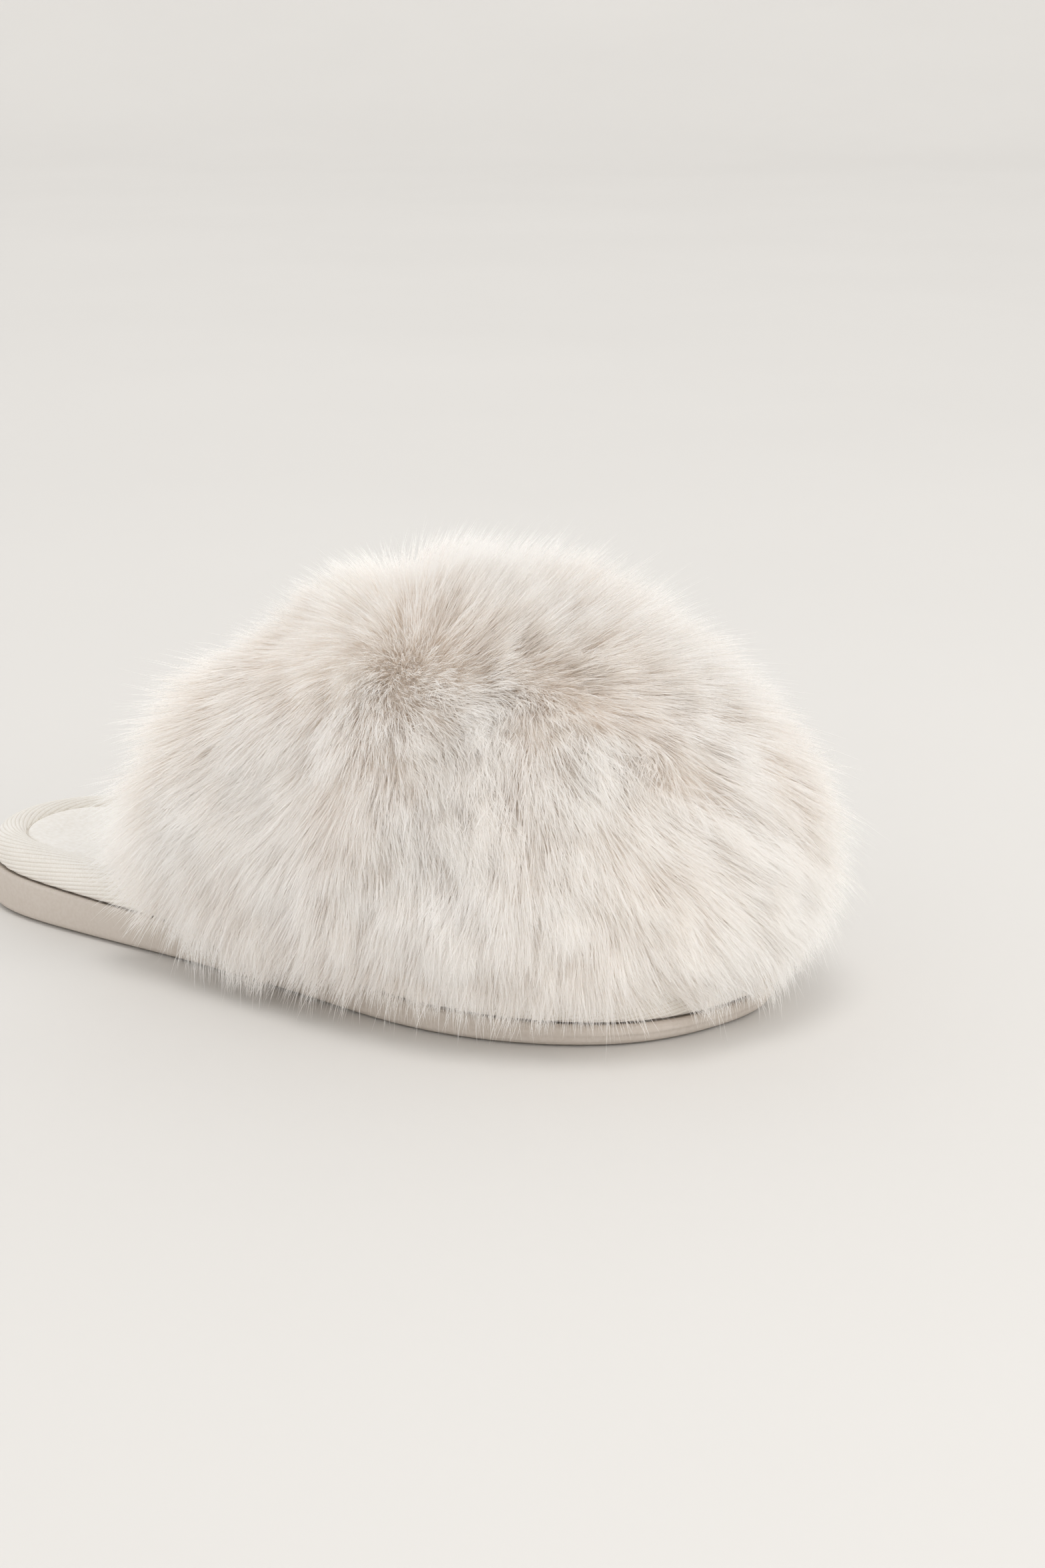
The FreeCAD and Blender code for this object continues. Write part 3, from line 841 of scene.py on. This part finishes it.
def grow_strands(points, normals, turn, share, rng, wave):
    """The visible part of each strand's centre line: it leaves the cloth, leans over and droops."""
    turn = turn + 0.30 * noise(points, 24, 32) + 0.24 * noise(points, 9, 33)
    nap = unit(turned(flow(points, normals), normals, turn))
    length = pile_length(points, share)
    low = smooth(*HEM_BAND, points[:, 2])
    lift = 1.35 + 0.14 * noise(points, 23, 31) + 0.13 * noise(points, 10, 36) - 0.4 * low
    lift = np.maximum(lift, 0.3)
    low = low[:, None]
    high = (smooth(78, 97, points[:, 2]) * (1 - smooth(*PARTING, points[:, 1])))[:, None]
    first = unit(normals * lift[:, None] + nap * (0.5 - 0.25 * high))
    last = unit(nap * (1.0 - 0.5 * high) + normals * (0.62 + 0.3 * high - 0.45 * low)
                + DOWN * (0.12 + 0.35 * low))
    line = [points]
    side = np.cross(normals, nap)
    phase = rng.random(len(points)) * 2 * math.pi
    for step in range(STEPS_ALONG):
        share = (step + 0.5) / STEPS_ALONG
        heading = unit(first * (1 - share) + last * share)
        bend = wave * np.sin(phase + share * 5.0)[:, None] * side
        line.append(line[-1] + heading * (length / STEPS_ALONG)[:, None] + bend / STEPS_ALONG)
    line = np.array(line).transpose(1, 0, 2)
    places = (BURIED + (1 - BURIED) * np.linspace(0, 1, KNOTS)) * STEPS_ALONG
    before = np.minimum(places.astype(int), STEPS_ALONG - 1)
    share = (places - before)[None, :, None]
    return line[:, before] * (1 - share) + line[:, before + 1] * share


def strand_mesh(name, lines, normals, width, tone, roll):
    """Flat tapered strands along the lines: pairs of points to a single tip."""
    count, knots, _ = lines.shape
    heading = unit(np.gradient(lines, axis=1))
    side = unit(np.cross(heading, normals[:, None, :]))
    face = np.cross(side, heading)
    side = side * np.cos(roll)[:, None, None] + face * np.sin(roll)[:, None, None]
    taper = np.interp(np.linspace(0, 1, knots), [0, 0.35, 0.7, 1], [1.0, 0.95, 0.6, 0.0])
    half = width[:, None, None] / 2 * taper[None, :, None]
    left, right = lines - side * half, lines + side * half
    per = 2 * (knots - 1) + 1
    verts = np.empty((count, per, 3))
    verts[:, 0:-1:2] = left[:, :-1]
    verts[:, 1:-1:2] = right[:, :-1]
    verts[:, -1] = lines[:, -1]
    flat = verts.reshape(-1, 3)
    placed = on_deck(flat[:, 0], flat[:, 1], flat[:, 2]).astype(np.float32)
    quads = np.array([[2 * k, 2 * k + 1, 2 * k + 3, 2 * k + 2] for k in range(knots - 2)])
    last = 2 * (knots - 2)
    pattern = np.concatenate([quads.ravel(), [last, last + 1, last + 2]])
    loops = (np.arange(count)[:, None] * per + pattern[None, :]).ravel()
    starts_each = np.concatenate([np.arange(len(quads)) * 4, [quads.size]])
    starts = (np.arange(count)[:, None] * len(pattern) + starts_each[None, :]).ravel()
    mesh = bpy.data.meshes.new(name)
    mesh.vertices.add(len(placed))
    mesh.vertices.foreach_set("co", placed.ravel())
    mesh.loops.add(len(loops))
    mesh.loops.foreach_set("vertex_index", loops.astype(np.int32))
    mesh.polygons.add(len(starts))
    mesh.polygons.foreach_set("loop_start", starts.astype(np.int32))
    mesh.update(calc_edges=True)
    mesh.polygons.foreach_set("use_smooth", np.ones(len(starts), bool))
    # The first channel is the share along the strand, which the fur material uses to paint shade at
    # the roots.
    share = np.concatenate([np.repeat(np.linspace(0, 1, knots)[:-1], 2), [1.0]])
    colour = np.empty((count, per, 4), np.float32)
    colour[..., 0] = share[None, :]
    colour[..., 1] = tone[:, None]
    colour[..., 2] = 0.5
    colour[..., 3] = 1.0
    layer = mesh.color_attributes.new("strand", "FLOAT_COLOR", "POINT")
    layer.data.foreach_set("color", colour.ravel())
    piece = bpy.data.objects.new(name, mesh)
    bpy.context.scene.collection.objects.link(piece)
    mesh.materials.append(FUR)
    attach(piece, "root")
    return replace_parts(piece, "fur_pile")


def kept_inside(lines, roots, proud):
    """Strands that pass the CAD's box by more than proud, or near the floor, made shorter."""
    tips, bases = (on_deck(*points.T) for points in (lines[:, -1], roots))
    low, high = (np.array(corner) for corner in CAD_BOX)
    low = low - proud[:, None]
    low[:, 2] = FLOOR_GAP
    reach = tips - bases
    room = np.where(reach > 0, high + proud[:, None] - bases, low - bases)
    share = np.clip((room / np.where(reach == 0, 1, reach)).min(1), 0, 1)
    return roots[:, None] + (lines - roots[:, None]) * share[:, None, None]


def make_fur():
    """The pile: strands gathered into small locks, whose lie changes softly from tuft to tuft."""
    rng = np.random.default_rng(20)
    roots, normals = scatter(STRANDS, 21, 2.5)
    lock_roots, lock_normals = scatter(LOCKS, 23, 3.0)
    lock = nearest(lock_roots, roots)
    lock_turn = rng.normal(0, 0.16, len(lock_roots))
    lock_length = rng.normal(1.0, 0.09, len(lock_roots))
    lock_lines = grow_strands(lock_roots, lock_normals, lock_turn, lock_length, rng, 0.0)

    total = len(roots)
    single = np.clip(rng.normal(0.95, 0.16, total), 0.5, 1.2)
    stray = rng.random(total) < 0.03
    single[stray] *= rng.uniform(1.0, 1.15, stray.sum())
    lines = grow_strands(
        roots, normals, lock_turn[lock] * 0.8 + rng.normal(0, 0.24, total),
        lock_length[lock] * single, rng, 2.0,
    )
    gather = np.linspace(0, 1, KNOTS) ** 1.3 * 0.4
    tight = np.where(stray, 0.1, 0.5 + 0.5 * rng.random(total))[:, None]
    pull = (gather[None, :] * tight)[..., None]
    offset = (roots - lock_roots[lock])[:, None, :]
    lines = lines * (1 - pull) + (lock_lines[lock] + offset * 0.2) * pull

    lines = kept_inside(lines, roots, rng.uniform(*PROUD, total))
    width = rng.uniform(0.75, 1.25, total) * STRAND_WIDTH
    tone = np.clip(rng.normal(0.55, 0.22, total) + 0.15 * noise(roots, 8, 41), 0, 1)
    roll = rng.normal(0, 0.6, total)
    angle = np.arctan2(roots[:, 0] - CROWN[0], -(roots[:, 1] - CROWN[1]))
    order = np.argsort(angle, kind="stable")
    for index, part in enumerate(np.array_split(order, STRAND_PIECES), start=1):
        strand_mesh(
            f"fur_strands_{index}", lines[part], normals[part], width[part], tone[part], roll[part]
        )


def make_undercoat():
    """The dense short fibre under the long pile, as one soft uneven skin."""
    rows, columns = 150, 300
    grid = upper_grid(BACKING_GROW, rows, columns, 1.5)
    normals = unit(np.cross(np.gradient(grid, axis=1), np.gradient(grid, axis=0)))
    normals *= np.sign((normals * (grid - INSIDE)).sum(-1, keepdims=True))
    normals[-1] = -DOWN
    thick = UNDERCOAT_THICK + 1.0 * noise(grid, 11, 51) + 0.6 * noise(grid, 5, 52)
    thick *= 1 - 0.4 * smooth(44, 12, grid[..., 2])
    hem = smooth(0, 9, np.arange(rows))[:, None]
    border = np.minimum(np.arange(columns), np.arange(columns)[::-1])
    thick = thick * (0.15 + 0.85 * hem) * (0.15 + 0.85 * smooth(0, 8, border))[None, :] + 0.3
    grid = grid + normals * thick[..., None]
    verts = on_deck(grid[..., 0], grid[..., 1], grid[..., 2]).reshape(-1, 3)
    piece = make_object(
        "fur_undercoat", verts, grid_faces(rows, columns, False), UNDERCOAT
    )
    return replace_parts(piece, "fur_pile")


# ---- stage, light and camera --------------------------------------------------------------------

def make_stage():
    """A pale floor that curves up far from the slipper on every side; sizes in metres."""
    rings, columns = 60, 128
    reach, wall, gap = 8.0, 2.5, 0.0004
    verts = []
    for ring in range(rings):
        share = ring / (rings - 1)
        radius = reach * share
        height = wall * (max(share - 0.5, 0) / 0.5) ** 2
        for column in range(columns):
            angle = 2 * math.pi * column / columns
            verts.append((radius * math.cos(angle), radius * math.sin(angle), height))
    mesh = bpy.data.meshes.new("floor")
    mesh.from_pydata(verts, [], grid_faces(rings, columns, True))
    mesh.polygons.foreach_set("use_smooth", [True] * len(mesh.polygons))
    floor = bpy.data.objects.new("floor", mesh)
    bpy.context.scene.collection.objects.link(floor)
    paper = Material("paper", 0.9)
    paper.colour(paper.ramp(paper.noise(2), (0.3, rgb(205, 203, 200)), (0.7, rgb(207, 205, 202))))
    mesh.materials.append(paper.data)
    floor.location.z = -gap
    return floor


def make_lamp(name, kind, energy, colour, direction):
    light = bpy.data.lights.new(name, kind)
    light.energy = energy
    light.color = colour
    lamp = bpy.data.objects.new(name, light)
    bpy.context.scene.collection.objects.link(lamp)
    lamp.rotation_mode = "QUATERNION"
    lamp.rotation_quaternion = Vector(direction).to_track_quat("-Z", "Y")
    return lamp


def make_world(horizon, zenith):
    """Soft light from all round, brightest at the horizon."""
    world = bpy.data.worlds.new("studio")
    bpy.context.scene.world = world
    world.use_nodes = True
    tree = world.node_tree
    sky = tree.nodes["Background"]
    sky.inputs["Color"].default_value = (1.0, 0.99, 0.975, 1)
    direction = tree.nodes.new("ShaderNodeTexCoord").outputs["Generated"]
    parts = tree.nodes.new("ShaderNodeSeparateXYZ")
    fade = tree.nodes.new("ShaderNodeMapRange")
    fade.inputs["To Min"].default_value = horizon
    fade.inputs["To Max"].default_value = zenith
    tree.links.new(direction, parts.inputs["Vector"])
    tree.links.new(parts.outputs["Z"], fade.inputs["Value"])
    tree.links.new(fade.outputs["Result"], sky.inputs["Strength"])


def make_lights(floor):
    """A soft studio: the world, a large key lamp, and a lamp that lights only the floor."""
    make_world(horizon=2.5, zenith=0.35)
    place, target = Vector((-0.35, -1.3, 1.1)), Vector((0, 0, 0.03))
    key = make_lamp(
        "key", "AREA", energy=8, colour=(1.0, 0.985, 0.975), direction=target - place
    )
    key.location = place
    key.data.shape = "DISK"
    key.data.size = 1.5
    overhead = make_lamp(
        "overhead", "SUN", energy=0.85, colour=(1.0, 0.985, 0.965), direction=(0.22, 0.13, -1)
    )
    overhead.data.angle = math.radians(22)
    only_floor = bpy.data.collections.new("lit_by_overhead")
    only_floor.objects.link(floor)
    overhead.light_linking.receiver_collection = only_floor


# The camera: its direction and distance from the sole's middle, and how far it is slid.
AZIMUTH = math.radians(-58.24)
ELEVATION = math.radians(16.46)
DISTANCE = 0.82613
SLIDE_RIGHT = 0.05451
SLIDE_UP = 0.04927
LENS = 61.2
SOLE_CENTRE = Vector(((SOLE_LOW[0] + 50.0) * MM, (SOLE_HIGH[1] - 132.5) * MM, 0))


def make_camera():
    camera = bpy.data.objects.new("camera", bpy.data.cameras.new("camera"))
    bpy.context.scene.collection.objects.link(camera)
    back = Vector((
        math.sin(AZIMUTH) * math.cos(ELEVATION), -math.cos(AZIMUTH) * math.cos(ELEVATION),
        math.sin(ELEVATION),
    ))
    right = (-back).cross(Vector((0, 0, 1))).normalized()
    up = right.cross(-back)
    camera.location = SOLE_CENTRE + back * DISTANCE + right * SLIDE_RIGHT + up * SLIDE_UP
    camera.rotation_mode = "QUATERNION"
    camera.rotation_quaternion = (-back).to_track_quat("-Z", "Y")
    camera.data.lens = LENS
    camera.data.sensor_width = 36
    camera.data.clip_start = 0.01
    bpy.context.scene.camera = camera


# ---- assembly -----------------------------------------------------------------------------------

make_camera()
make_lights(make_stage())
make_outsole()
make_tread()
make_wrap()
make_rim()
make_pad(
    "memory_foam_pad", "memory_foam", inset=0.3, bottom=2.8, top=6.3, dish=0.9,
    edge_round=0.6, material=FOAM,
)
make_pad(
    "sock_plush", "sock_lining", inset=0.15, bottom=6.0, top=8.6, dish=1.6,
    edge_round=1.6, material=PLUSH,
)
lining = make_shell(
    "lining_fleece", "upper_lining", grow=-7.6, thickness=2.3, material=FLEECE
)
interlining = make_shell(
    "interlining_foam", "upper_foam", grow=-5.1, thickness=1.9, material=FOAM
)
backing = make_shell(
    "backing_knit", "fur_backing", grow=-3.0, thickness=0.9, material=KNIT
)
make_binding()
make_undercoat()
make_fur()

for node, material in (("bottom_filler", FELT), ("insole_board", BOARD)):
    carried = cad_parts[node].data.materials
    carried.clear()
    carried.append(material)

seam = seam_on_sole(inset=WELL_HEEL + 0.2, height=8.1, keep=lambda y: y > 30)
make_stitches("sock_stitches", seam, np.tile(-DOWN, (len(seam), 1)), "sock_stitching")
seam = seam_on_sole(inset=4.4, height=10.1, keep=lambda y: y < 34)
make_stitches("feather_seam_stitches", seam, np.tile(-DOWN, (len(seam), 1)), "feather_seam_thread")
seam = even_path(topline_curve(grow=-9.3, shift=-6.0), STITCH_PITCH)
make_stitches("topline_stitches", seam, -topline_frame(seam)[1], "topline_stitching")

bpy.context.scene.view_settings.view_transform = "Standard"
bpy.context.scene.cycles.max_bounces = 18
bpy.context.scene.cycles.diffuse_bounces = 16
bpy.context.scene.cycles.transmission_bounces = 16
